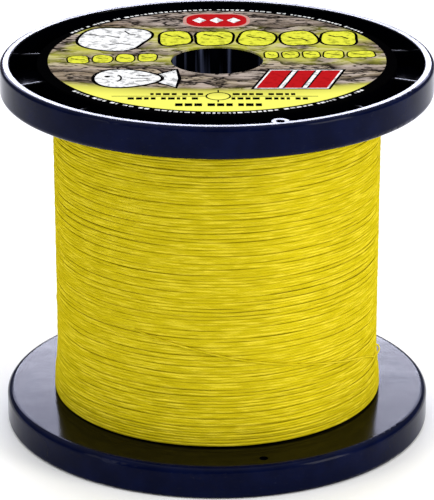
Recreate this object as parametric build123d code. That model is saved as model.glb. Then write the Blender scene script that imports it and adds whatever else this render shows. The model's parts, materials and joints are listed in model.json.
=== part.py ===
from build123d import *
import math
import os

# A spool of braided fishing line. Two identical flange mouldings snap onto the ends of a core tube,
# and the line is wound on that tube between them. Millimetres, +Z up along the bore,
# origin at the middle of the face that the spool stands on.

# Whole spool
spool_diameter = 75.0
spool_height = 66.0
flange_thickness = 5.7

# Rim of a flange
rim_wall = 1.75
rim_crown_radius = 0.7  # outer edge of the face that the spool stands on
rim_heel_radius = 1.1  # outer edge beside the line
rim_inner_radius = 0.25  # inner edge of the standing face

# Web, ribs and label seat of a flange
web_thickness = 1.5
label_recess = 0.2  # standing face down to the label
label_thickness = 0.3
label_radius = 31.0
seat_wall = 1.4  # of the ring that stands under the label's edge
rib_count = 12
rib_thickness = 0.8
rib_edge_radius = 0.3
rib_recess = 1.1  # standing face down to a rib, beside the label
rib_fall = 0.5  # how much lower a rib is where it meets the rim

# Hole in the rim that holds the line's end. It leans outward, away from the line.
upper_hole_angle = -73.2  # about the bore, from +X
lower_hole_angle = -76.6
line_hole_inner_offset = 34.1  # from the bore's axis, beside the line
line_hole_outer_offset = 35.5  # at the standing face
line_hole_radius = 0.75
line_boss_radius = 1.45

# Hub tube of a flange, which forms half of the bore
bore_radius = 8.0
hub_wall = 1.6
hub_gap = 0.2  # between the two hub tubes, at the spool's middle

# Core tube
core_radius = 26.6
core_wall = 1.6
core_play = 0.1  # from each flange

# Spigot of a flange, which plugs into the core tube
spigot_play = 0.1
spigot_wall = 1.4
spigot_depth = 8.0
brace_count = 4
brace_thickness = 1.2
lug_count = 4
lug_reach = 0.9
lug_top = 4.4  # from the flange's web down to the lug's holding face
lug_height = 0.8
lug_ramp = 1.8
lug_angle = 16.0
slot_width = 1.2
slot_root = 1.0  # what the slots beside a lug leave of the spigot
window_play = 0.3

# Wound line
line_diameter = 0.32
winding_play = 0.1
winding_radius = 28.4  # at mid height
winding_top_radius = 28.5
winding_bulge_radius = 29.0
winding_bulge_height = 0.9  # from the lower end of the winding
winding_shoulder_height = 9.0  # where the bulge begins
winding_corner_radius = 1.4  # at the upper end
winding_foot_inset = 0.25  # of the lower end from the bulge

# Last turn of the line, laid across the others
last_turn_start = -116.0  # degrees about the bore
last_turn_sweep = 108.0
last_turn_top = 25.4
last_turn_bottom = 13.2
last_turn_stand_off = 0.25  # from the winding to the turn, at the bends between its straight runs
last_turn_runs = 9

# Start of the line, knotted inside the core tube
start_hole_radius = 0.6
start_hole_height = 20.0
start_hole_angle = 0.0
start_knot_radius = 0.95

flange_radius = spool_diameter / 2
rim_inner = flange_radius - rim_wall
rim_middle = flange_radius - rim_wall / 2
label_face = flange_thickness - label_recess
label_seat = label_face - label_thickness
line_space = spool_height - 2 * flange_thickness
hub_outer = bore_radius + hub_wall
hub_length = line_space / 2 - hub_gap / 2
core_inner = core_radius - core_wall
spigot_outer = core_inner - spigot_play
merge = 0.4  # how far joined shapes run into each other


def turned(points):
    """The ring that a closed outline of (radius, height) points makes about the bore."""
    return revolve(make_face(Plane.XZ * Polyline(*points, close=True)), Axis.Z)


def ring(inner, outer, low, high):
    """A plain ring about the bore."""
    return turned([(inner, low), (outer, low), (outer, high), (inner, high)])


def spread(piece, count, first=0.0):
    """Copies of a piece at even steps about the bore."""
    return [Rot(0, 0, first + 360 * i / count) * piece for i in range(count)]


# A flange is drawn with its inner face, beside the line, at height 0, its standing face above it
# and its line hole on +X.


def rim():
    """The upright outer wall, with its three exposed corners rounded."""
    section = Plane.XZ * Pos(rim_middle, flange_thickness / 2) * Rectangle(rim_wall, flange_thickness)
    corners = [
        (flange_radius, 0, rim_heel_radius),
        (flange_radius, flange_thickness, rim_crown_radius),
        (rim_inner, flange_thickness, rim_inner_radius),
    ]
    for radius, height, rounding in corners:
        corner = section.vertices().sort_by_distance((radius, 0, height))[0]
        section = fillet(corner, rounding)
    return revolve(section, Axis.Z)


def rib():
    """One rib, which carries the label from the hub to the seat ring and then braces the rim."""
    crest = flange_thickness - rib_recess
    step = label_radius - seat_wall / 2
    outline = Plane.XZ * Polyline(
        (hub_outer - merge, web_thickness - merge),
        (rim_inner + merge, web_thickness - merge),
        (rim_inner + merge, crest - rib_fall),
        (step, crest),
        (step, label_seat),
        (hub_outer - merge, label_seat),
        close=True,
    )
    plate = extrude(make_face(outline), rib_thickness / 2, both=True)
    long_edges = plate.edges().filter_by(lambda e: e.center().X > step and e.center().Z > web_thickness)
    return fillet(long_edges.filter_by(lambda e: e.length > rib_thickness * 2), rib_edge_radius)


def lug():
    """A snap lug: a ramp that slides into the core tube and a flat that holds behind its window."""
    low = -lug_top - lug_height - lug_ramp
    outline = Plane.XZ * Polyline(
        (spigot_outer - merge, low),
        (spigot_outer, low),
        (spigot_outer + lug_reach, low + lug_ramp),
        (spigot_outer + lug_reach, -lug_top),
        (spigot_outer - merge, -lug_top),
        close=True,
    )
    return Rot(0, 0, -lug_angle / 2) * revolve(make_face(outline), Axis.Z, lug_angle)


def spigot():
    """The ring that plugs into the core tube, slotted beside each lug so that the lug can bend in."""
    body = ring(spigot_outer - spigot_wall, spigot_outer, -spigot_depth, merge)
    middle = spigot_outer - spigot_wall / 2
    slot_height = spigot_depth - slot_root
    cutter = Pos(middle, 0, -slot_root - slot_height / 2) * Box(spigot_wall * 3, slot_width, slot_height)
    first = 180 / lug_count
    beside = math.degrees(slot_width / spigot_outer) / 2 + lug_angle / 2 + 1
    for side in (-beside, beside):
        body -= spread(cutter, lug_count, first + side)
    return body + spread(lug(), lug_count, first)


def brace():
    """A plate that ties the hub tube to the spigot."""
    low, high = hub_outer - merge, spigot_outer - spigot_wall + merge
    centre = Pos((low + high) / 2, 0, (merge - spigot_depth) / 2)
    return centre * Box(high - low, brace_thickness, spigot_depth + merge)


def along_line_hole(radius):
    """A rod along the line hole's axis that sticks out of both faces."""
    start = Vector(line_hole_inner_offset, 0, 0)
    end = Vector(line_hole_outer_offset, 0, flange_thickness)
    return Plane((start + end) / 2, z_dir=end - start) * Cylinder(radius, flange_thickness * 2)


def line_boss():
    """The wall around the line hole, which grows into the rim."""
    return along_line_hole(line_boss_radius) & ring(label_radius, rim_middle, 0, flange_thickness)


def flange():
    body = ring(bore_radius, rim_inner + merge, 0, web_thickness)
    body += rim()
    body += ring(bore_radius, hub_outer, -hub_length, label_seat)
    body += ring(label_radius - seat_wall, label_radius, web_thickness - merge, label_seat)
    body += spread(rib(), rib_count)
    body += spigot()
    body += spread(brace(), brace_count)
    return body + line_boss() - along_line_hole(line_hole_radius)


def core_tube():
    low = flange_thickness + core_play
    high = spool_height - flange_thickness - core_play
    body = ring(core_inner, core_radius, low, high)
    height = lug_height + lug_ramp + 2 * window_play
    depth = lug_top + (lug_height + lug_ramp) / 2
    width = 2 * spigot_outer * math.sin(math.radians(lug_angle / 2)) + 2 * window_play
    cutter = Box(core_wall * 4, width, height)
    ends = [
        (flange_thickness + depth, lower_hole_angle),
        (spool_height - flange_thickness - depth, upper_hole_angle),
    ]
    for level, angle in ends:
        body -= spread(Pos(core_radius, 0, level) * cutter, lug_count, angle + 180 / lug_count)
    hole = Rot(0, 90, 0) * Cylinder(start_hole_radius, core_wall * 4)
    return body - Rot(0, 0, start_hole_angle) * Pos(core_radius, 0, start_hole_height) * hole


def label():
    """A printed card disc, drawn where a flange's own ribs hold it."""
    return ring(bore_radius, label_radius, label_seat, label_face)


def line_winding():
    """The wound line as one body: straight sides, a soft bulge near its foot and rounded ends."""
    inner = core_radius + winding_play
    low = flange_thickness + winding_play
    high = spool_height - flange_thickness - winding_play
    top = (winding_top_radius - winding_corner_radius, high)
    foot = (winding_bulge_radius - winding_foot_inset, low)
    corner = Spline(
        top,
        (winding_top_radius, high - winding_corner_radius),
        tangents=[(1, 0), (0, -1)],
    )
    side = Line(corner @ 1, (winding_radius, low + winding_shoulder_height))
    bulge = Spline(
        side @ 1,
        (winding_bulge_radius, low + winding_bulge_height),
        tangents=[side % 1, (0, -1)],
    )
    toe = Spline(bulge @ 1, foot, tangents=[(0, -1), (-1, 0)])
    inside = Polyline(foot, (inner, low), (inner, high), top)
    outline = Plane.XZ * make_face(Curve() + [corner, side, bulge, toe, inside])
    return revolve(outline, Axis.Z)


def line_end_turn():
    """The last turn, which runs down across the others in one long even slope."""
    radius = winding_radius + last_turn_stand_off + line_diameter / 2
    points = []
    for i in range(last_turn_runs + 1):
        part = i / last_turn_runs
        angle = math.radians(last_turn_start + last_turn_sweep * part)
        height = last_turn_top + (last_turn_bottom - last_turn_top) * part
        points.append(Vector(radius * math.cos(angle), radius * math.sin(angle), height))
    run = (points[1] - points[0]).length
    turn = (points[1] - points[0]).get_angle(points[2] - points[1])
    bend_radius = 0.45 * run / math.tan(math.radians(turn / 2))
    path = FilletPolyline(*points, radius=bend_radius)
    return sweep(Plane(path @ 0, z_dir=path % 0) * Circle(line_diameter / 2), path)


def line_start_knot():
    """The stopper knot inside the core tube, on the stub of line that comes through its wall."""
    knot_offset = core_inner - start_knot_radius
    stub_end = core_radius + winding_play
    knot = Pos(knot_offset, 0, 0) * Sphere(start_knot_radius)
    stub_length = stub_end - knot_offset
    stub = Rot(0, 90, 0) * Cylinder(line_diameter / 2, stub_length)
    stub = Pos(knot_offset + stub_length / 2, 0, 0) * stub
    return Rot(0, 0, start_hole_angle) * Pos(0, 0, start_hole_height) * (knot + stub)


def on_top(piece):
    """Moves what is drawn on a flange to the spool's upper end."""
    return Pos(0, 0, spool_height - flange_thickness) * Rot(0, 0, upper_hole_angle) * piece


def on_bottom(piece):
    """Turns what is drawn on a flange over and moves it to the spool's lower end."""
    return Pos(0, 0, flange_thickness) * Rot(0, 0, lower_hole_angle) * Rot(180, 0, 0) * piece


one_flange = flange()
one_label = label()
nodes = {
    "upper_flange": on_top(one_flange),
    "lower_flange": on_bottom(one_flange),
    "core_tube": core_tube(),
    "top_label": on_top(one_label),
    "bottom_label": on_bottom(one_label),
    "line_winding": line_winding(),
    "line_end_turn": line_end_turn(),
    "line_start_knot": line_start_knot(),
}
os.makedirs("parts", exist_ok=True)
for name, piece in nodes.items():
    export_step(piece, f"parts/{name}.step")
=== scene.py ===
import json
import math

import bmesh
import bpy
import numpy as np
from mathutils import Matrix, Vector


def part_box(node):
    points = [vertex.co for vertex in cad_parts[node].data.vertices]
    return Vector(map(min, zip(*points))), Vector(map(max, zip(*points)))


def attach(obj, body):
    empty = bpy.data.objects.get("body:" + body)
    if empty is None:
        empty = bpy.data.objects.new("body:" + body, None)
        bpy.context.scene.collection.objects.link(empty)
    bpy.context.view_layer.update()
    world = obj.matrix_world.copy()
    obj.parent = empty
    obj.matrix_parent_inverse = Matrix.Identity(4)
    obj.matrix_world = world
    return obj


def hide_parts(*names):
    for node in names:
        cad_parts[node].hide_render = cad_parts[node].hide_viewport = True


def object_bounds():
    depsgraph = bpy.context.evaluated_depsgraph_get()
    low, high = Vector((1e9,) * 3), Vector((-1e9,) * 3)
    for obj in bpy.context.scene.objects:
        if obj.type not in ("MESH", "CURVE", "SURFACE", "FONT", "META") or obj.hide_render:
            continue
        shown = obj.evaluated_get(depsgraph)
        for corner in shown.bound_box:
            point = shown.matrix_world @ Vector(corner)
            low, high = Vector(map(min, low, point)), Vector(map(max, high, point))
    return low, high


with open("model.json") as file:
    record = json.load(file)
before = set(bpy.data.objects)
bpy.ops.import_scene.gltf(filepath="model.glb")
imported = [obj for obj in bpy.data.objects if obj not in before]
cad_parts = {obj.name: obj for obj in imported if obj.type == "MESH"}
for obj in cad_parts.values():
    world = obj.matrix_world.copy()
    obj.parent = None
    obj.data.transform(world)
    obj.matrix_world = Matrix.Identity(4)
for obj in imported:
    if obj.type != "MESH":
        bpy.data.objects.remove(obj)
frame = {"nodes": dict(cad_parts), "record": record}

# Lengths are in metres. Names that end in _mm, the places that materials work with and the outlines of
# the labels' print are in millimetres.
MM = 0.001
SEED = 7
nodes = frame["nodes"]
cad_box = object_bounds()
scene = bpy.context.scene
whole_low, whole_high = cad_box
middle_height = (whole_low[2] + whole_high[2]) / 2

# ---------------------------------------------------------------- camera

CAMERA_DISTANCE = 0.5255
CAMERA_ELEVATION = math.radians(20.6)
CAMERA_LENS_MM = 214.6
SENSOR_MM = 36.0
NEAREST_SEEN = 0.01
AIM_BELOW_MIDDLE = 0.00209  # across the view, which leaves a little more room under the spool


def make_camera():
    data = bpy.data.cameras.new("camera")
    data.lens = CAMERA_LENS_MM
    data.sensor_width = SENSOR_MM
    data.clip_start = NEAREST_SEEN
    camera = bpy.data.objects.new("camera", data)
    scene.collection.objects.link(camera)
    forward = Vector((0, math.cos(CAMERA_ELEVATION), -math.sin(CAMERA_ELEVATION)))
    up = Vector((0, math.sin(CAMERA_ELEVATION), math.cos(CAMERA_ELEVATION)))
    middle = Vector((0, 0, middle_height))
    camera.location = middle - forward * CAMERA_DISTANCE
    aim = middle - up * AIM_BELOW_MIDDLE
    camera.rotation_euler = (aim - camera.location).to_track_quat("-Z", "Y").to_euler()
    scene.camera = camera


# ---------------------------------------------------------------- node and mesh helpers


def add(tree, kind, inputs=None, **settings):
    """A shader node with its settings, each input either set to a value or fed by a socket."""
    made = tree.nodes.new("ShaderNode" + kind)
    for key, value in settings.items():
        setattr(made, key, value)
    feed(made, inputs or {})
    return made


def feed(node, inputs):
    """Sets a node's inputs, by name or number, from values or from other nodes' sockets."""
    for key, value in inputs.items():
        if isinstance(value, bpy.types.NodeSocket):
            node.id_data.links.new(value, node.inputs[key])
        else:
            node.inputs[key].default_value = value


def maths(tree, operation, first, second=0.0, third=0.0):
    """The result of one arithmetic step on values or sockets."""
    made = add(tree, "Math", {0: first, 1: second, 2: third}, operation=operation)
    return made.outputs[0]


def step_between(tree, value, low, high, start=0.0, end=1.0):
    """A smooth change from start to end as value goes from low to high."""
    inputs = {"Value": value, "From Min": low, "From Max": high, "To Min": start, "To Max": end}
    return add(tree, "MapRange", inputs, interpolation_type="SMOOTHSTEP").outputs[0]


def mixed(tree, share, first, second):
    """A colour between first and second."""
    return add(tree, "Mix", {0: share, 6: first, 7: second}, data_type="RGBA").outputs[2]


def ramp(tree, value, stops):
    """A colour ramp of (place, colour) stops."""
    made = add(tree, "ValToRGB", {0: value})
    elements = made.color_ramp.elements
    while len(elements) < len(stops):
        elements.new(0.5)
    for element, (place, colour) in zip(elements, stops):
        element.position = place
        element.color = (*colour, 1)
    return made.outputs[0]


def noise(tree, where, scale, detail=3.0, roughness=0.5, stretch=(1, 1, 1)):
    """Noise in millimetre coordinates, from 0 to 1, stretched along the axes with a smaller factor."""
    placed = add(tree, "VectorMath", {0: where, 1: stretch}, operation="MULTIPLY").outputs[0]
    inputs = {"Vector": placed, "Scale": scale, "Detail": detail, "Roughness": roughness}
    return add(tree, "TexNoise", inputs).outputs[0]


def place_in_mm(tree):
    """Object coordinates in millimetres, which are the frame's own."""
    where = add(tree, "TexCoord").outputs["Object"]
    return add(tree, "VectorMath", {0: where, 3: 1 / MM}, operation="SCALE").outputs[0]


def bumped(tree, height, distance, strength=1.0, normal=None):
    """A bump whose full height is distance, in metres."""
    inputs = {"Height": height, "Distance": distance, "Strength": strength}
    if normal is not None:
        inputs["Normal"] = normal
    return add(tree, "Bump", inputs).outputs[0]


def material(name, **constants):
    """A new material, its node tree and its shader, with constant values on the shader's own sockets."""
    made = bpy.data.materials.new(name)
    made.use_nodes = True
    shader = made.node_tree.nodes["Principled BSDF"]
    feed(shader, {key.replace("_", " "): value for key, value in constants.items()})
    return made, made.node_tree, shader


def wear(obj, made):
    """Puts one material on every face of an object, in a slot of the object's own."""
    if not obj.material_slots:
        obj.data.materials.append(None)
    for slot in obj.material_slots:
        slot.link = "OBJECT"
        slot.material = made


def new_object(name, mesh, made):
    obj = bpy.data.objects.new(name, mesh)
    scene.collection.objects.link(obj)
    mesh.materials.append(made)
    return obj


# ---------------------------------------------------------------- plastic

NAVY_BLACK = (0.0004, 0.0016, 0.0140, 1)
NAVY_PALE = (0.0012, 0.0032, 0.0230, 1)
# colour of the painted shade inside the rims, in the recesses and the bore
PAINTED_SHADE_BLACK = (0.0003, 0.0004, 0.0012, 1)
SCUFF = (0.03, 0.033, 0.045, 1)
# colour of the painted highlight streaks in the bore
PAINTED_BORE_STREAK = (0.24, 0.28, 0.48, 1)
RIM_WIDTH_MM = 1.7
STREAK_DEPTH_MM = 0.6  # how far outside the bore's surface its painted highlight streaks end
STREAK_FADE_MM = 0.2
EDGE_WEAR_MM = 0.45  # how far inside the rims' widest part the scuffs begin
WAVE_HEIGHT = 25e-6  # of the slow waves that moulding leaves
GRAIN_HEIGHT = 2.5e-6
RING_HEIGHT = 0.4e-6  # of the fine rings that the turned mould leaves
RING_PHASE_PER_MM = 9.0  # in radians, outward


def bore_radius_mm():
    """The bore's radius, which the record's mount gives."""
    dims = {mount["name"]: mount["dims"] for mount in frame["record"]["mounts"]}
    return dims["arbor_bore"]["r_mm"]


def plastic_material(name, crown_mm, scuff_share):
    """Dark navy moulded plastic, finely mottled, with painted shade that makes it blacker inside the rims,
    scuffs where a rim's outer corners have rubbed, and light upright streaks in the bore that are painted
    reflections."""
    made, tree, shader = material(name, IOR=1.13)
    where = place_in_mm(tree)
    mottle = noise(tree, where, 0.22, detail=6)
    colour = mixed(tree, step_between(tree, mottle, 0.35, 0.75), NAVY_BLACK, NAVY_PALE)
    flat = add(tree, "VectorMath", {0: where, 1: (1, 1, 0)}, operation="MULTIPLY").outputs[0]
    radius = add(tree, "VectorMath", {0: flat}, operation="LENGTH").outputs["Value"]
    # painted shade: the plastic inside the rims, in the recesses and the bore, is made blacker where it lies
    # in shade
    inside = step_between(tree, radius, crown_mm - RIM_WIDTH_MM, crown_mm - RIM_WIDTH_MM / 2, 1.0, 0.0)
    colour = mixed(tree, inside, colour, PAINTED_SHADE_BLACK)
    streaked_mm = bore_radius_mm() + STREAK_DEPTH_MM
    in_bore = step_between(tree, radius, streaked_mm, streaked_mm + STREAK_FADE_MM, 1.0, 0.0)
    # painted reflection: light upright streaks in the bore, standing in for the highlights that a glossy
    # bore shows
    painted_streak = noise(tree, where, 0.30, detail=3, stretch=(1, 1, 0.06))
    painted_streak = maths(tree, "MULTIPLY", in_bore, step_between(tree, painted_streak, 0.48, 0.68))
    colour = mixed(tree, painted_streak, colour, PAINTED_BORE_STREAK)
    near_edge = step_between(tree, radius, crown_mm - EDGE_WEAR_MM, crown_mm)
    scrape = noise(tree, where, 1.4, detail=8, roughness=0.7, stretch=(1, 1, 3))
    scuff = maths(tree, "MULTIPLY", near_edge, step_between(tree, scrape, 0.6, 0.72))
    scuff = maths(tree, "MULTIPLY", scuff, scuff_share)
    colour = mixed(tree, scuff, colour, SCUFF)
    smudge = noise(tree, where, 0.09, detail=5, roughness=0.6)
    rough = step_between(tree, smudge, 0.3, 0.7, 0.11, 0.16)
    rough = maths(tree, "MULTIPLY_ADD", scuff, 0.25, rough)
    grain = noise(tree, where, 3.0, detail=4)
    wave = noise(tree, where, 0.16, detail=2, stretch=(1, 1, 2.5))
    rings = maths(tree, "SINE", maths(tree, "MULTIPLY", radius, RING_PHASE_PER_MM))
    normal = bumped(tree, rings, RING_HEIGHT)
    normal = bumped(tree, wave, WAVE_HEIGHT, normal=normal)
    normal = bumped(tree, grain, GRAIN_HEIGHT, normal=normal)
    feed(shader, {"Base Color": colour, "Roughness": rough, "Normal": normal})
    return made


# ---------------------------------------------------------------- braided line

LINE_DIAMETER_MM = 0.32
LINE_WIDTH_MM = 0.57  # of a drawn turn, wider than the line so that the ridges are as coarse as the object's
LINE_DEPTH_MM = 0.24
LINE_YELLOW = (0.60, 0.49, 0.0085, 1)
LINE_OLIVE = (0.53, 0.43, 0.0065, 1)
# colour of flecks that are part paler dye and part painted glints
LINE_PALE_GLINT = (0.86, 0.715, 0.045, 1)
LINE_PLAIT_SHADE = (0.18, 0.13, 0.002, 1)  # painted shade between the plaits
LINE_GLOSS = (0.95, 0.82, 0.06, 1)
BRAID_REPEAT_MM = 0.62
BRAID_STARTS = 4
PLAIT_HEIGHT = 14e-6


def line_material():
    """Braided polyethylene: crossing plaits in the bump, dye that drifts along the line, flecks that are
    part paler dye and part painted glints, and painted shade between the plaits.
    """
    gloss = {"Metallic": 0.14, "Specular_IOR_Level": 0.0, "Specular_Tint": LINE_GLOSS}
    made, tree, shader = material("braid", **gloss)
    split = add(tree, "SeparateXYZ", {0: add(tree, "UVMap", uv_map="along").outputs[0]})
    along, around = split.outputs["X"], split.outputs["Y"]
    turn = maths(tree, "MULTIPLY", along, 2 * math.pi / BRAID_REPEAT_MM)
    side = maths(tree, "MULTIPLY", around, 2 * math.pi * BRAID_STARTS)
    one_way = maths(tree, "SINE", maths(tree, "ADD", turn, side))
    other_way = maths(tree, "SINE", maths(tree, "SUBTRACT", turn, side))
    plait = maths(tree, "MAXIMUM", one_way, other_way)
    strand_place = add(tree, "CombineXYZ", {"X": along, "Y": maths(tree, "MULTIPLY", around, 1.5)})
    drift = noise(tree, strand_place.outputs[0], 0.16, detail=4, roughness=0.6)
    flecks_and_glints = noise(tree, strand_place.outputs[0], 1.3, detail=3, roughness=0.6, stretch=(0.17, 1.8, 1))
    tone = step_between(tree, drift, 0.36, 0.64)
    colour = mixed(tree, tone, LINE_OLIVE, LINE_YELLOW)
    # part paler dye, part painted glints: short light flecks along the strands stand in for highlights as
    # well as tone
    pale = step_between(tree, flecks_and_glints, 0.46, 0.66, 0.0, 0.65)
    colour = mixed(tree, pale, colour, LINE_PALE_GLINT)
    # painted shade: darker where the plaits dip between each other
    painted_plait_shade = step_between(tree, plait, -0.3, 0.5, 0.15, 0.0)
    colour = mixed(tree, painted_plait_shade, colour, LINE_PLAIT_SHADE)
    rough = step_between(tree, flecks_and_glints, 0.3, 0.7, 0.34, 0.5)
    normal = bumped(tree, plait, PLAIT_HEIGHT, strength=0.7)
    feed(shader, {"Base Color": colour, "Roughness": rough, "Normal": normal})
    return made


# ---------------------------------------------------------------- winding

STEPS_PER_TURN = 120
SIDES = 8  # of a tube's section
LEAD_MM = 0.50  # from one turn to the next
LAYER_STEP_MM = 0.19
LAYER_START = 2.1  # from one layer's start to the next one's, in radians about the bore
FIRST_TURN_MM = 0.12  # along the profile, from its lower end to the middle of the first turn
CALM_MM = 1.5  # along the profile at each end of a layer, where the turns wander less
DRIFT_MM = ((0.045, 2), (0.06, 7))  # how far turns wander to the side, and over how many steps
LIFT_MM = ((0.02, 2), (0.015, 9))  # the same outward
PROFILE_STEP_MM = 0.05
SAME_LEVEL_MM = 0.002

# The body under the turns
BODY_COLUMNS, BODY_ROWS = 180, 220
BODY_GAP_MM = 0.05  # below the second layer
BODY_END_MM = 0.8  # along the profile, from each of its ends
BODY_RIDGE_MM = 0.03
CORE_GAP_MM = 0.15


def winding_profile():
    """Radius and height, in millimetres, along the outside of the CAD winding, evenly spaced."""
    mesh = nodes["line_winding"].data
    points = np.empty(len(mesh.vertices) * 3)
    mesh.vertices.foreach_get("co", points)
    x, y, z = points.reshape(-1, 3).T / MM
    radius = np.hypot(x, y)
    levels = np.unique(z.round(3))
    widest = np.array([radius[np.abs(z - level) < SAME_LEVEL_MM].max() for level in levels])
    heights = np.arange(levels[0], levels[-1], PROFILE_STEP_MM / 2)
    radii = np.interp(heights, levels, widest)
    length = np.concatenate([[0], np.cumsum(np.hypot(np.diff(heights), np.diff(radii)))])
    even = np.arange(0, length[-1], PROFILE_STEP_MM)
    return np.interp(even, length, radii), np.interp(even, length, heights)


def smooth_noise(draws, count, reach):
    """Noise of unit spread, alike over about reach steps."""
    taps = np.exp(-0.5 * (np.arange(-3 * reach, 3 * reach + 1) / reach) ** 2)
    raw = np.convolve(draws.normal(size=count + len(taps) - 1), taps, mode="valid")
    return raw / raw.std()


def tube_mesh(centres, outward, width_mm, depth_mm):
    """Points, quads and UVs of a tube of oval section along points in millimetres, its flat side facing
    outward. The UVs count millimetres along the tube and turns around it."""
    count = len(centres)
    ahead = np.gradient(centres, axis=0)
    ahead /= np.linalg.norm(ahead, axis=1)[:, None]
    across = np.cross(outward, ahead)
    across /= np.linalg.norm(across, axis=1)[:, None]
    outward = np.cross(ahead, across)
    angles = 2 * math.pi * np.arange(SIDES) / SIDES - math.pi / 2
    ring = (
        centres[:, None, :]
        + width_mm / 2 * np.cos(angles)[None, :, None] * across[:, None, :]
        + depth_mm / 2 * np.sin(angles)[None, :, None] * outward[:, None, :]
    )
    i, j = np.meshgrid(np.arange(count - 1), np.arange(SIDES), indexing="ij")
    k = (j + 1) % SIDES
    quads = np.stack([i * SIDES + j, i * SIDES + k, (i + 1) * SIDES + k, (i + 1) * SIDES + j], axis=-1)
    run = np.concatenate([[0], np.cumsum(np.linalg.norm(np.diff(centres, axis=0), axis=1))])
    u = np.stack([run[i], run[i], run[i + 1], run[i + 1]], axis=-1)
    v = np.stack([j, j + 1, j + 1, j], axis=-1) / SIDES
    return ring.reshape(-1, 3) * MM, quads.reshape(-1, 4), np.stack([u, v], axis=-1).reshape(-1, 2)


def tube_object(name, made, tube):
    """An object of one tube, closed at both ends, with its UVs in a map named along."""
    points, quads, uvs = tube
    ends = np.concatenate([np.arange(SIDES)[::-1], len(points) - SIDES + np.arange(SIDES)])
    corners = np.concatenate([quads.ravel(), ends])
    lengths = np.concatenate([np.full(len(quads), 4), [SIDES, SIDES]])
    uvs = np.concatenate([uvs, np.zeros((len(ends), 2))])
    mesh = bpy.data.meshes.new(name)
    mesh.vertices.add(len(points))
    mesh.vertices.foreach_set("co", points.ravel())
    mesh.loops.add(len(corners))
    mesh.loops.foreach_set("vertex_index", corners.astype(np.int32))
    mesh.polygons.add(len(lengths))
    starts = np.concatenate([[0], np.cumsum(lengths)[:-1]])
    mesh.polygons.foreach_set("loop_start", starts.astype(np.int32))
    mesh.uv_layers.new(name="along").data.foreach_set("uv", uvs.ravel())
    mesh.update(calc_edges=True)
    mesh.validate()
    mesh.polygons.foreach_set("use_smooth", np.ones(len(mesh.polygons), bool))
    return new_object(name, mesh, made)


def frame_on_winding(profile, along_mm, deep_mm, angle):
    """Points deep_mm under the winding's outside, and the outward direction there."""
    radii, heights = profile
    length = np.arange(len(radii)) * PROFILE_STEP_MM
    out_r = np.gradient(heights) / PROFILE_STEP_MM
    out_z = -np.gradient(radii) / PROFILE_STEP_MM
    size = np.hypot(out_r, out_z)
    out_r = np.interp(along_mm, length, out_r / size)
    out_z = np.interp(along_mm, length, out_z / size)
    r = np.interp(along_mm, length, radii) - out_r * deep_mm
    z = np.interp(along_mm, length, heights) - out_z * deep_mm
    centres = np.stack([r * np.cos(angle), r * np.sin(angle), z], axis=1)
    outward = np.stack([out_r * np.cos(angle), out_r * np.sin(angle), out_z], axis=1)
    return centres, outward


def wander(draws, count, waves):
    """Noise of several reaches, each with its own size in millimetres."""
    return sum(size * smooth_noise(draws, count, reach) for size, reach in waves)


def winding_layer(profile, layer, draws):
    """One layer of turns from the lower end to the upper one, each turn wandering a little."""
    length = (len(profile[0]) - 1) * PROFILE_STEP_MM
    first, last = FIRST_TURN_MM, length - LINE_WIDTH_MM / 2
    turns = (last - first) / LEAD_MM
    count = int(turns * STEPS_PER_TURN)
    way = 1 if layer % 2 == 0 else -1
    angle = way * np.linspace(0, turns * 2 * math.pi, count) + layer * LAYER_START
    along = np.linspace(first, last, count)
    calm = np.minimum(1, np.minimum(along - first, last - along) / CALM_MM)
    along = np.clip(along + calm * wander(draws, count, DRIFT_MM), first, last)
    deep = LINE_DEPTH_MM / 2 + layer * LAYER_STEP_MM - calm * wander(draws, count, LIFT_MM)
    return frame_on_winding(profile, along, deep, angle)


def halves(centres, outward):
    """The lower and the upper half of a layer, which share one ring of points."""
    cut = len(centres) // 2
    return (centres[: cut + 1], outward[: cut + 1]), (centres[cut:], outward[cut:])


def make_winding(profile, look):
    draws = np.random.default_rng(SEED)
    for layer, name in enumerate(("winding_outer_turns", "winding_second_turns")):
        centres, outward = winding_layer(profile, layer, draws)
        for part, (points, out) in zip(("lower", "upper"), halves(centres, outward)):
            tube = tube_mesh(points, out, LINE_WIDTH_MM, LINE_DEPTH_MM)
            piece = tube_object(f"{name}_{part}", look, tube)
            ride_as_line(piece, "line_winding")


def ride_as_line(piece, node):
    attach(piece, "root")
    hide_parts(node)


def winding_body(profile, look):
    """The mass of turns under the outer two layers, as one ridged body."""
    deep = 2 * LAYER_STEP_MM + BODY_GAP_MM
    length = (len(profile[0]) - 1) * PROFILE_STEP_MM
    angles = np.linspace(0, 2 * math.pi, BODY_COLUMNS, endpoint=False)
    mesh = bpy.data.meshes.new("winding_inner_turns")
    form = bmesh.new()
    rings = []
    for row in range(BODY_ROWS):
        along = BODY_END_MM + (length - 2 * BODY_END_MM) * row / (BODY_ROWS - 1)
        ridge = BODY_RIDGE_MM * math.cos(math.pi * row)
        centres, _ = frame_on_winding(profile, np.full(BODY_COLUMNS, along), deep + ridge, angles)
        rings.append([form.verts.new(point * MM) for point in centres])
    inner = core_radius_mm() + CORE_GAP_MM
    for level in (rings[-1][0].co.z, rings[0][0].co.z):
        rings.append(
            [form.verts.new((inner * MM * math.cos(a), inner * MM * math.sin(a), level)) for a in angles]
        )
    for lower, upper in zip(rings, rings[1:] + rings[:1]):
        for column in range(BODY_COLUMNS):
            after = (column + 1) % BODY_COLUMNS
            form.faces.new((lower[column], lower[after], upper[after], upper[column]))
    for face in form.faces:
        face.smooth = True
    form.to_mesh(mesh)
    form.free()
    piece = new_object("winding_inner_turns", mesh, look)
    ride_as_line(piece, "line_winding")


def core_radius_mm():
    """The outer radius of the core tube, in millimetres."""
    low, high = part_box("core_tube")
    return (high[0] - low[0]) / 2 / MM


# ---------------------------------------------------------------- last turn

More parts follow.
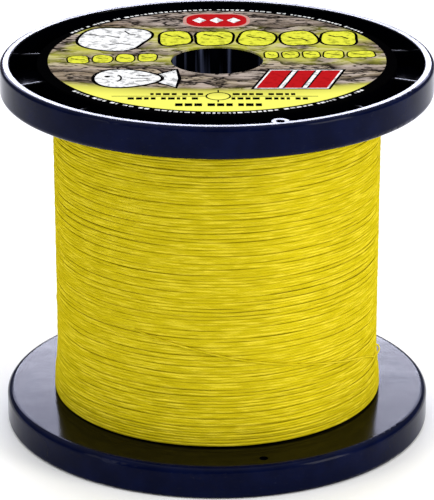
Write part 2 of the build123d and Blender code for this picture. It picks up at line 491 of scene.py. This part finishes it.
TURN_START_DEG, LOOP_START_DEG = -116.5, -14.5
TURN_TOP_MM, LOOP_BOTTOM_MM = 25.5, 13.5
LIES_MM = 0.15  # from the winding's outside to the middle of the turn that lies on it
FLATTENED_MM = 0.02  # how much wider than round, and how much less deep
MM_PER_DEGREE = 0.5  # about, on the winding's outside
TURN_STEPS = 420
KNOT_STEPS, STUB_STEPS = 220, 40
ACROSS_KNOT = (0.3, 0.2, 1.0)  # a direction that the knot's line never runs along


def length_at_height(profile, height_mm):
    return np.interp(height_mm, profile[1], np.arange(len(profile[0])) * PROFILE_STEP_MM)


def make_last_turn(profile, look):
    """The last turn runs down over the others, stands off in a small loop and is tucked under."""
    guide = np.array([
        # degrees, height, stand-off from the winding's outside
        (TURN_START_DEG - 5, TURN_TOP_MM + 0.5, -0.28),
        (TURN_START_DEG, TURN_TOP_MM, 0.04),
        (-102.8, 24.1, LIES_MM),
        (-90.0, 22.6, LIES_MM),
        (-78.0, 21.2, LIES_MM),
        (-63.0, 19.6, LIES_MM),
        (-52.0, 18.5, LIES_MM),
        (-42.5, 17.5, LIES_MM),
        (-31.0, 16.2, LIES_MM),
        (-22.0, 14.9, LIES_MM),
        (-17.5, 14.0, 0.16),
        (LOOP_START_DEG, LOOP_BOTTOM_MM, 0.24),
        (LOOP_START_DEG + 2.3, LOOP_BOTTOM_MM + 0.1, 0.56),
        (LOOP_START_DEG + 3.6, LOOP_BOTTOM_MM + 0.7, 0.78),
        (LOOP_START_DEG + 3.2, LOOP_BOTTOM_MM + 1.4, 0.62),
        (LOOP_START_DEG + 1.5, LOOP_BOTTOM_MM + 1.9, 0.28),
        (LOOP_START_DEG - 1.0, LOOP_BOTTOM_MM + 2.1, -0.05),
        (LOOP_START_DEG - 4.0, LOOP_BOTTOM_MM + 2.2, -0.35),
    ])
    steps = np.hypot(np.diff(guide[:, 0]) * MM_PER_DEGREE, np.diff(guide[:, 1]))
    travel = np.concatenate([[0], np.cumsum(steps)])
    fine = np.linspace(0, travel[-1], TURN_STEPS)
    angle, height, stand = (smooth_through(travel, guide[:, i], fine) for i in range(3))
    along = length_at_height(profile, height)
    centres, outward = frame_on_winding(profile, along, -stand, np.radians(angle))
    wide, deep = LINE_DIAMETER_MM + FLATTENED_MM, LINE_DIAMETER_MM - FLATTENED_MM
    piece = tube_object("line_last_turn", look, tube_mesh(centres, outward, wide, deep))
    ride_as_line(piece, "line_end_turn")


def smooth_through(places, values, wanted):
    """A smooth curve through values at places, as a chain of cubic pieces."""
    slopes = np.gradient(values, places)
    index = np.clip(np.searchsorted(places, wanted) - 1, 0, len(places) - 2)
    span = places[index + 1] - places[index]
    t = (wanted - places[index]) / span
    return (
        (2 * t**3 - 3 * t**2 + 1) * values[index]
        + (t**3 - 2 * t**2 + t) * span * slopes[index]
        + (3 * t**2 - 2 * t**3) * values[index + 1]
        + (t**3 - t**2) * span * slopes[index + 1]
    )


def make_knot(look):
    """The overhand knot inside the core tube, a trefoil curve that starts a little late and ends a little
    past its start, with the stub that passes through the tube's wall."""
    low, high = (np.array(corner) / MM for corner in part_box("line_start_knot"))
    radius = (high[2] - low[2]) / 2
    middle = np.array([low[0] + radius, (low[1] + high[1]) / 2, (low[2] + high[2]) / 2])
    t = np.linspace(0.35, 2 * math.pi + 0.1, KNOT_STEPS)
    size = (radius - LINE_DIAMETER_MM / 2) / 3
    knot = np.stack(
        [
            -1.3 * size * np.sin(3 * t),
            size * (np.sin(t) + 2 * np.sin(2 * t)),
            size * (np.cos(t) - 2 * np.cos(2 * t)),
        ],
        axis=1,
    ) + middle
    end = np.array([high[0], middle[1], middle[2]])
    stub = np.linspace(knot[-1], end, STUB_STEPS)[1:]
    centres = np.concatenate([knot, stub])
    outward = np.tile(ACROSS_KNOT, (len(centres), 1))
    tube = tube_mesh(centres, outward, LINE_DIAMETER_MM, LINE_DIAMETER_MM)
    piece = tube_object("line_stopper_knot", look, tube)
    ride_as_line(piece, "line_start_knot")


# ---------------------------------------------------------------- labels

PRINT_LAYER_MM = 0.008
ART_RADIUS_MM = 29.2
ART_SHIFT_MM = 0.8  # from the bore's axis to the middle of the coloured disc, towards the back
CARD_EDGE_MM = 30.9
BLACK_INK = (0.0008, 0.0008, 0.0010, 1)
INKS = {
    # colour, and the share of it that its darker patches keep
    "black": (BLACK_INK, 0.8),
    "white": ((0.76, 0.76, 0.74, 1), 0.42),
    "yellow": ((0.62, 0.63, 0.045, 1), 0.55),
    "red": ((0.40, 0.008, 0.010, 1), 0.8),
    "pink": ((0.48, 0.25, 0.21, 1), 0.85),
}
YELLOW_BAND = (0.73, 0.715, 0.115, 1)
OLIVE_BAND = (0.47, 0.45, 0.075, 1)
STONES = (
    (0.18, 0.13, 0.085),
    (0.42, 0.35, 0.24),
    (0.24, 0.20, 0.165),
    (0.50, 0.42, 0.36),
    (0.12, 0.088, 0.055),
)
LUMP_PALE = (0.45, 0.37, 0.32, 1)
LUMP_DARK = (0.08, 0.055, 0.035, 1)
BED_FOOT = (0.06, 0.04, 0.025, 1)
SPECK_PALE = (0.58, 0.52, 0.47, 1)
SPECK_DARK = (0.07, 0.05, 0.035, 1)
CRACK = (0.012, 0.009, 0.008, 1)
GLOW = (0.50, 0.50, 0.055, 1)
BED_MM = 5.2  # thickness of a bed of stone
BED_LEAN = 0.22
BED_WARP_MM = 16.0
BED_RAGGED_MM = 2.2
ROWS_MIDDLE_MM = 8.5  # from the bore's axis to the middle of the glow behind the rows of print
ROWS_EDGE_MM = (7.5, 13.0)  # from that middle, where the glow starts to fade and where it ends
BAND_EDGE_MM = (-18.2, -15.2)  # from the bore's axis, where the yellow band starts to fade and ends
BAND_FADE_MM = (-22.0, -16.5)  # where it turns from yellow to olive
BAND_BOW_PER_MM = 0.006
PAPER_HEIGHT = 4e-6
INK_PATCHES_PER_MM = 0.9


def stone_colour(tree, where):
    """Leaning beds of beige, pink and grey-brown stone, each shaded towards its foot, with dark cracks."""
    flat = add(tree, "VectorMath", {0: where, 1: (1, 1, 0)}, operation="MULTIPLY").outputs[0]
    warp = noise(tree, flat, 0.06, detail=2)
    split = add(tree, "SeparateXYZ", {0: flat})
    bed = maths(tree, "MULTIPLY_ADD", split.outputs["X"], BED_LEAN, split.outputs["Y"])
    bed = maths(tree, "MULTIPLY_ADD", warp, BED_WARP_MM, bed)
    ragged = noise(tree, flat, 0.35, detail=5, roughness=0.65, stretch=(0.5, 1, 1))
    bed = maths(tree, "MULTIPLY_ADD", ragged, BED_RAGGED_MM, bed)
    bed = maths(tree, "DIVIDE", bed, BED_MM)
    within = maths(tree, "FRACT", bed)
    pick = add(tree, "TexWhiteNoise", {"W": maths(tree, "FLOOR", bed)}, noise_dimensions="1D")
    stops = [(i / (len(STONES) - 1), colour) for i, colour in enumerate(STONES)]
    stone = ramp(tree, pick.outputs["Value"], stops)
    lump = noise(tree, flat, 0.28, detail=5, roughness=0.6, stretch=(0.6, 1.6, 1))
    stone = mixed(tree, step_between(tree, lump, 0.45, 0.62, 0.0, 0.7), stone, LUMP_PALE)
    stone = mixed(tree, step_between(tree, lump, 0.34, 0.46, 0.75, 0.0), stone, LUMP_DARK)
    foot = step_between(tree, within, 0.05, 0.7, 0.75, 0.0)
    stone = mixed(tree, foot, stone, BED_FOOT)
    speck = noise(tree, flat, 1.6, detail=6, roughness=0.75, stretch=(0.5, 1.3, 1))
    stone = mixed(tree, step_between(tree, speck, 0.52, 0.7, 0.0, 0.5), stone, SPECK_PALE)
    stone = mixed(tree, step_between(tree, speck, 0.32, 0.46, 0.6, 0.0), stone, SPECK_DARK)
    edge = step_between(tree, within, 0.03, 0.17, 1.0, 0.0)
    cleft = noise(tree, flat, 0.22, detail=4, roughness=0.6, stretch=(0.55, 1.7, 1))
    cleft = maths(tree, "ABSOLUTE", maths(tree, "SUBTRACT", cleft, 0.5))
    cleft = step_between(tree, cleft, 0.012, 0.040, 1.0, 0.0)
    dark = maths(tree, "MAXIMUM", edge, cleft)
    return mixed(tree, dark, stone, CRACK)


def card_material(name, near_side):
    """Printed card: stone with a yellow glow behind the rows of print, a yellow band on the gauge's side
    of the bore, and a black edge. The gauge is towards -Y when near_side is 1, or +Y when it is -1."""
    made, tree, shader = material(name, Specular_IOR_Level=0.0)
    mirror = {0: place_in_mm(tree), 1: (1, near_side, 1)}
    where = add(tree, "VectorMath", mirror, operation="MULTIPLY").outputs[0]
    split = add(tree, "SeparateXYZ", {0: where})
    x, y = split.outputs["X"], split.outputs["Y"]
    stone = stone_colour(tree, where)
    off_rows = maths(tree, "ABSOLUTE", maths(tree, "SUBTRACT", y, ROWS_MIDDLE_MM))
    rows = step_between(tree, off_rows, *ROWS_EDGE_MM, 0.72, 0.0)
    cloud = step_between(tree, noise(tree, where, 0.12, detail=3), 0.35, 0.6)
    colour = mixed(tree, maths(tree, "MULTIPLY", rows, cloud), stone, GLOW)
    bow = maths(tree, "MULTIPLY", maths(tree, "MULTIPLY", x, x), BAND_BOW_PER_MM)
    near = maths(tree, "SUBTRACT", y, bow)
    band = step_between(tree, near, *BAND_EDGE_MM, 1.0, 0.0)
    band_colour = mixed(tree, step_between(tree, near, *BAND_FADE_MM), YELLOW_BAND, OLIVE_BAND)
    colour = mixed(tree, band, colour, band_colour)
    flat = add(tree, "VectorMath", {0: where, 1: (1, 1, 0)}, operation="MULTIPLY").outputs[0]
    radius = add(tree, "VectorMath", {0: flat}, operation="LENGTH").outputs["Value"]
    rim = maths(tree, "GREATER_THAN", radius, CARD_EDGE_MM)
    colour = mixed(tree, rim, colour, BLACK_INK)
    dots = noise(tree, where, 6.0, detail=2)
    rough = step_between(tree, dots, 0.3, 0.7, 0.42, 0.55)
    normal = bumped(tree, noise(tree, where, 1.8, detail=5), PAPER_HEIGHT)
    feed(shader, {"Base Color": colour, "Roughness": rough, "Normal": normal})
    return made


def ink_material(name, colour, darker):
    """Printed ink, as matt as the card, with patches that keep only a share of its colour."""
    made, tree, shader = material(name, Specular_IOR_Level=0.0)
    where = place_in_mm(tree)
    patch = noise(tree, where, INK_PATCHES_PER_MM, detail=6, roughness=0.65)
    shade = tuple(c * darker for c in colour[:3]) + (1,)
    tint = mixed(tree, step_between(tree, patch, 0.38, 0.52), shade, colour)
    rough = step_between(tree, noise(tree, where, 4.0), 0.3, 0.7, 0.40, 0.55)
    normal = bumped(tree, noise(tree, where, 2.2, detail=4), PAPER_HEIGHT)
    feed(shader, {"Base Color": tint, "Roughness": rough, "Normal": normal})
    return made


class Print:
    """Flat printed shapes of one ink, gathered into one mesh. Outlines are in millimetres about the
    bore, seen from outside, and a higher layer is printed over a lower one."""

    def __init__(self, name, ink):
        self.name, self.ink, self.form = name, ink, bmesh.new()

    def corner(self, x, y, layer):
        return self.form.verts.new((x * MM, y * MM, layer * PRINT_LAYER_MM * MM))

    def fill(self, outline, layer):
        """A filled outline, as a thin closed slab."""
        upper = [self.corner(x, y, layer) for x, y in outline]
        lower = [self.corner(x, y, layer - 1) for x, y in outline]
        self.form.faces.new(upper)
        self.form.faces.new(lower[::-1])
        for a, b, c, d in zip(lower, lower[1:] + lower[:1], upper[1:] + upper[:1], upper):
            self.form.faces.new((a, b, c, d))

    def between(self, inner, outer, layer, closed):
        """A strip between two outlines with as many points each."""
        rings = []
        for (x0, y0), (x1, y1) in zip(inner, outer):
            rings.append([
                self.corner(x0, y0, layer - 1), self.corner(x1, y1, layer - 1),
                self.corner(x1, y1, layer), self.corner(x0, y0, layer),
            ])
        pairs = list(zip(rings, rings[1:]))
        if closed:
            pairs.append((rings[-1], rings[0]))
        else:
            self.form.faces.new(rings[0][::-1])
            self.form.faces.new(rings[-1])
        for near, far in pairs:
            for i in range(4):
                j = (i + 1) % 4
                self.form.faces.new((near[i], near[j], far[j], far[i]))

    def place(self, face_height, upward):
        """Finishes the piece on a label's printed face."""
        wide = [face for face in self.form.faces if len(face.verts) > 4]
        bmesh.ops.triangulate(self.form, faces=wide, ngon_method="EAR_CLIP")
        for vertex in self.form.verts:
            x, y, z = vertex.co
            vertex.co = (x, y, face_height + z) if upward else (x, -y, face_height - z)
        bmesh.ops.recalc_face_normals(self.form, faces=self.form.faces)
        mesh = bpy.data.meshes.new(self.name)
        self.form.to_mesh(mesh)
        self.form.free()
        return new_object(self.name, mesh, self.ink)


def arc(centre, radius, start, sweep, steps):
    """Points of an arc, by its angles in degrees."""
    turn = [math.radians(start + sweep * i / steps) for i in range(steps + 1)]
    return [(centre[0] + radius * math.cos(a), centre[1] + radius * math.sin(a)) for a in turn]


def pebble(centre, size, draws, square, count=36, uneven=0.028):
    """A rounded, slightly uneven outline that fills a box of the given size, and more squarely as square
    goes up from 2."""
    shifts = draws.uniform(0, 2 * math.pi, 3)
    points = []
    for step in range(count):
        a = 2 * math.pi * step / count
        reach = (abs(math.cos(a)) ** square + abs(math.sin(a)) ** square) ** (-1 / square)
        reach *= 1 + sum(uneven * math.cos((k + 2) * a + shift) for k, shift in enumerate(shifts))
        x, y = reach * math.cos(a), reach * math.sin(a)
        points.append((centre[0] + size[0] / 2 * x, centre[1] + size[1] / 2 * y))
    return points


def grown(outline, by):
    """An anticlockwise outline moved outward by a distance."""
    points = np.array(outline)
    edge = np.roll(points, -1, axis=0) - points
    edge /= np.linalg.norm(edge, axis=1)[:, None]
    normal = np.stack([edge[:, 1], -edge[:, 0]], axis=1)
    corner = normal + np.roll(normal, 1, axis=0)
    corner /= np.maximum(np.sum(corner * normal, axis=1), 0.6)[:, None]
    return [tuple(point) for point in points + corner * by]


def box_outline(left, right, bottom, top, lean=0.0):
    """A rectangle, or one whose top is shifted to the right by lean."""
    return [(left, bottom), (right, bottom), (right + lean, top), (left + lean, top)]


def rounded_box(left, right, bottom, top, radius):
    corners = [(right - radius, bottom + radius), (right - radius, top - radius),
               (left + radius, top - radius), (left + radius, bottom + radius)]
    points = []
    for turn, corner in enumerate(corners):
        points += arc(corner, radius, 90 * turn - 90, 90, 6)
    return points


def stroke(points, width):
    """The two sides of a line of even width, for Print.between."""
    points = np.array(points)
    ahead = np.gradient(points, axis=0)
    ahead /= np.linalg.norm(ahead, axis=1)[:, None]
    side = np.stack([-ahead[:, 1], ahead[:, 0]], axis=1) * width / 2
    return points - side, points + side


def outlined(ink, black, shape, layer, edge):
    """A shape of one ink on a black shape that shows as its outline."""
    black.fill(grown(shape, edge), layer)
    ink.fill(shape, layer + 1)


BAR_GAP_MM = 0.35
GROUP_GAP_MM = 2.6 * BAR_GAP_MM


def bar_row(ink, left, right, bottom, top, draws, lengths=(0.5, 1.3), group=4):
    """A row of short bars in groups, where a line of small print would be."""
    x, count = left, 0
    while x < right - lengths[0]:
        end = min(x + draws.uniform(*lengths), right)
        ink.fill(box_outline(x, end, bottom, top), 1)
        count += 1
        x = end + (GROUP_GAP_MM if count % group == 0 else BAR_GAP_MM)


def bar_arc(ink, start, end, radius, height, draws):
    """The same along the label's border, counted in degrees."""
    a, count = start, 0
    while a < end:
        sweep = draws.uniform(0.6, 1.7)
        tall = height * draws.choice([0.72, 0.72, 1.0])
        sides = [arc((0, ART_SHIFT_MM), radius + way * tall / 2, a, sweep, 2) for way in (-1, 1)]
        ink.between(*sides, 2, closed=False)
        count += 1
        a += sweep + (2.0 if count % draws.integers(5, 10) == 0 else 0.65)


def draw_border(black, white, card_radius, draws):
    steps = 180
    inner = arc((0, ART_SHIFT_MM), ART_RADIUS_MM, 0, 360, steps)[:-1]
    outer = arc((0, 0), card_radius - 0.03, 0, 360, steps)[:-1]
    black.between(inner, outer, 1, closed=True)
    for start, end in ((31, 149), (-143, -37)):
        bar_arc(white, start, end, ART_RADIUS_MM + 0.85, 0.62, draws)


def draw_badge(red, pink, white):
    pink.fill(rounded_box(-6.1, 5.9, 19.7, 28.5, 3.4), 1)
    red.fill(rounded_box(-5.5, 5.3, 20.2, 28.0, 3.0), 2)
    for x in (-3.2, -0.1, 3.0):
        white.fill([(x - 1.25, 24.1), (x, 22.4), (x + 1.25, 24.1), (x, 25.8)], 3)


def draw_boulder(black, white, draws):
    shape = pebble((-18.2, 12.6), (12.2, 13.6), draws, square=2.3, count=44, uneven=0.05)
    outlined(white, black, shape, 1, 0.55)
    cracks = [
        [(-22.6, 15.4), (-20.6, 14.2), (-19.4, 14.6), (-17.2, 13.2)],
        [(-18.8, 9.0), (-17.2, 9.8), (-15.2, 9.2)],
        [(-16.4, 17.4), (-15.6, 15.6), (-14.4, 14.8)],
    ]
    for crack in cracks:
        black.between(*stroke(crack, 0.35), 3, closed=False)


def draw_pebbles(black, yellow, draws):
    edges = (-10.6, -4.2, 3.2, 10.8, 18.0, 25.0)
    for left, right in zip(edges, edges[1:]):
        shape = pebble(((left + right) / 2, 13.0), (right - left - 1.2, 8.6), draws, 2.9, uneven=0.04)
        outlined(yellow, black, shape, 1, 0.5)
        x, y = (left + right) / 2, 13.3 + draws.uniform(-1.2, 1.2)
        crack = [(x - 1.8, y + 1.4), (x - 0.6, y + 0.3), (x + 0.5, y + 0.5), (x + 1.6, y - 0.9)]
        black.between(*stroke(crack, 0.4), 3, closed=False)


def draw_gravel(black, ink, left, right, low, rise, draws):
    """A rising row of small stones."""
    x = left
    while x < right - 1.0:
        wide = min(draws.uniform(2.4, 4.2), right - x)
        if right - x - wide < 2.6:
            wide = right - x
        middle = low + rise * (x - left) / (right - left)
        shape = pebble((x + wide / 2, middle), (wide - 0.55, draws.uniform(3.7, 4.6)), draws, 3.2, 20)
        outlined(ink, black, shape, 1, 0.28)
        crack = [(x + 0.8, middle + 0.7), (x + wide / 2, middle - 0.1), (x + wide - 0.9, middle + 0.1)]
        black.between(*stroke(crack, 0.25), 3, closed=False)
        x += wide + 0.25


def draw_fish(black, white):
    """A fish of two joined shapes, its head to the left."""
    turns = [2 * math.pi * i / 36 for i in range(36)]
    slim = [1 - 0.28 * math.cos(a) for a in turns]
    body = [(-15.1 + 5.6 * math.cos(a), -10.5 + 4.7 * math.sin(a) * b) for a, b in zip(turns, slim)]
    tail = [(-11.4, -11.3), (-7.0, -15.2), (-6.6, -10.5), (-7.0, -5.8), (-11.4, -9.7)]
    outlined(white, black, tail, 1, 0.6)
    outlined(white, black, body, 3, 0.6)
    black.fill(arc((-18.6, -9.6), 0.5, 0, 330, 11), 5)
    black.between(*stroke(arc((-19.2, -10.5), 3.0, -38, 76, 10), 0.35), 5, closed=False)
    for offset in (-1.7, 0.0, 1.7):
        line = [(-14.6 + abs(offset) * 0.5, -10.5 + offset), (-11.6, -10.5 + offset * 0.75)]
        black.between(*stroke(line, 0.3), 5, closed=False)


def draw_block(black, white, red):
    """A leaning red block with two white stripes."""
    lean = 2.7
    shape = box_outline(6.6, 18.4, -15.8, -6.0, lean)
    black.fill(grown(shape, 0.75), 1)
    white.fill(grown(shape, 0.32), 2)
    red.fill(shape, 3)
    for start in (10.0, 14.0):
        black.fill(box_outline(start, start + 1.3, -15.8, -6.0, lean), 4)
        white.fill(box_outline(start + 0.3, start + 1.0, -15.8, -6.0, lean), 5)


def draw_gauge(black, draws):
    """The circle that shows the line's thickness, between two ruled rows of small print."""
    ring = [arc((0.2, -20.3), radius, 0, 360, 36)[:-1] for radius in (1.85, 2.15)]
    black.between(*ring, 1, closed=True)
    for bottom, top in ((-18.2, -16.9), (-23.5, -22.4)):
        black.fill(box_outline(0.08, 0.32, bottom, top), 2)
    for left, right in ((-17.5, -2.0), (2.4, 16.8)):
        black.fill(box_outline(left, right, -20.4, -20.2), 2)
    bar_row(black, -11.1, -2.3, -19.7, -18.6, draws)
    bar_row(black, 2.6, 13.7, -19.7, -18.6, draws)
    bar_row(black, -14.8, -2.4, -22.1, -20.9, draws)
    bar_row(black, 2.4, 15.3, -22.1, -20.9, draws)
    bar_row(black, -6.9, 7.4, -25.6, -24.1, draws, lengths=(0.8, 1.4), group=3)


def make_label_art(node, upward, inks):
    """The printing on one label, in one piece for each ink."""
    draws = np.random.default_rng(SEED + 1)
    low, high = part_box(node)
    prints = {kind: Print(f"{node}_{kind}_print", ink) for kind, ink in inks.items()}
    black, white, yellow, red, pink = (prints[k] for k in ("black", "white", "yellow", "red", "pink"))
    draw_border(black, white, high[0] / MM, draws)
    draw_badge(red, pink, white)
    draw_boulder(black, white, draws)
    draw_pebbles(black, yellow, draws)
    draw_gravel(black, yellow, -26.0, -10.2, 0.2, 1.6, draws)
    draw_gravel(black, yellow, 8.0, 27.6, 3.0, 0.6, draws)
    draw_fish(black, white)
    draw_block(black, white, red)
    draw_gauge(black, draws)
    for ink in prints.values():
        piece = ink.place(high[2] if upward else low[2], upward)
        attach(piece, "root")


# ---------------------------------------------------------------- floor and light

FLOOR_GREY = (0.93, 0.93, 0.93, 1)
FLOOR_REACH = 3.0
HORIZON_LIGHT, SKY_LIGHT, OVERHEAD_LIGHT = 0.25, 0.95, 1.1  # the last one is added to the sky's
LAMP_DISTANCE = 1.1
LAMPS = {
    # azimuth, lower and upper elevation and width in degrees, radiance, colour
    "back_low": (180, 16.2, 19.0, 20, 34.0, (0.80, 0.82, 1.0)),
    "back_high": (180, 20.0, 33.0, 50, 7.6, (0.71, 0.73, 1.0)),
    "key": (60, 0, 31, 22, 9.2, (1.0, 0.98, 0.95)),
    "fill": (-60, 0, 31, 24, 3.0, (0.97, 0.98, 1.0)),
}


def make_floor():
    made, tree, shader = material("floor_paper", Roughness=0.9, Specular_IOR_Level=0.1)
    where = place_in_mm(tree)
    cloud = noise(tree, where, 0.004, detail=3)
    tint = mixed(tree, cloud, tuple(c * 0.98 for c in FLOOR_GREY[:3]) + (1,), FLOOR_GREY)
    feed(shader, {"Base Color": tint, "Normal": bumped(tree, noise(tree, where, 0.6), 8e-6)})
    form = bmesh.new()
    bmesh.ops.create_grid(form, x_segments=8, y_segments=8, size=FLOOR_REACH)
    mesh = bpy.data.meshes.new("floor")
    form.to_mesh(mesh)
    form.free()
    floor = new_object("floor", mesh, made)
    floor.location.z = whole_low[2]


def make_world():
    """Pale light from above, brightest overhead, so that shadows on the floor stay faint."""
    world = bpy.data.worlds.new("studio")
    scene.world = world
    world.use_nodes = True
    tree = world.node_tree
    where = add(tree, "TexCoord").outputs["Generated"]
    height = add(tree, "SeparateXYZ", {0: where}).outputs["Z"]
    strength = step_between(tree, height, 0.28, 0.75, HORIZON_LIGHT, SKY_LIGHT)
    overhead = step_between(tree, height, 0.80, 0.95, 0.0, OVERHEAD_LIGHT)
    strength = maths(tree, "ADD", strength, overhead)
    feed(tree.nodes["Background"], {"Color": (0.99, 0.995, 1.0, 1), "Strength": strength})


def softbox(name, azimuth, low, high, width, radiance, colour):
    """A soft rectangular lamp that faces the spool's top, between two elevations and with a width in
    degrees. Azimuth 0 is behind the camera."""
    a, e = math.radians(azimuth), math.radians((low + high) / 2)
    away = Vector((math.sin(a) * math.cos(e), -math.cos(a) * math.cos(e), math.sin(e)))
    data = bpy.data.lights.new(name, "AREA")
    data.shape = "RECTANGLE"
    data.size = 2 * LAMP_DISTANCE * math.tan(math.radians(width / 2))
    data.size_y = 2 * LAMP_DISTANCE * math.tan(math.radians((high - low) / 2))
    data.energy = radiance * math.pi * data.size * data.size_y
    data.color = colour
    lamp = bpy.data.objects.new(name, data)
    scene.collection.objects.link(lamp)
    lamp.location = Vector((0, 0, whole_high[2])) + away * LAMP_DISTANCE
    lamp.rotation_euler = (-away).to_track_quat("-Z", "Y").to_euler()


# ---------------------------------------------------------------- the whole scene

scene.view_settings.view_transform = "Standard"
make_camera()
make_floor()
make_world()
for name, lamp in LAMPS.items():
    softbox(name, *lamp)

rim_mm = cad_box[1][0] / MM
flange_look = plastic_material("spool_plastic", rim_mm, 0.5)
core_look = plastic_material("core_plastic", rim_mm, 0.0)
wear(nodes["upper_flange"], flange_look)
wear(nodes["lower_flange"], flange_look)
wear(nodes["core_tube"], core_look)

line_look = line_material()
profile = winding_profile()
make_winding(profile, line_look)
winding_body(profile, line_look)
make_last_turn(profile, line_look)
make_knot(line_look)

wear(nodes["top_label"], card_material("top_label_card", 1))
wear(nodes["bottom_label"], card_material("bottom_label_card", -1))
inks = {kind: ink_material(f"ink_{kind}", *look) for kind, look in INKS.items()}
make_label_art("top_label", True, inks)
make_label_art("bottom_label", False, inks)
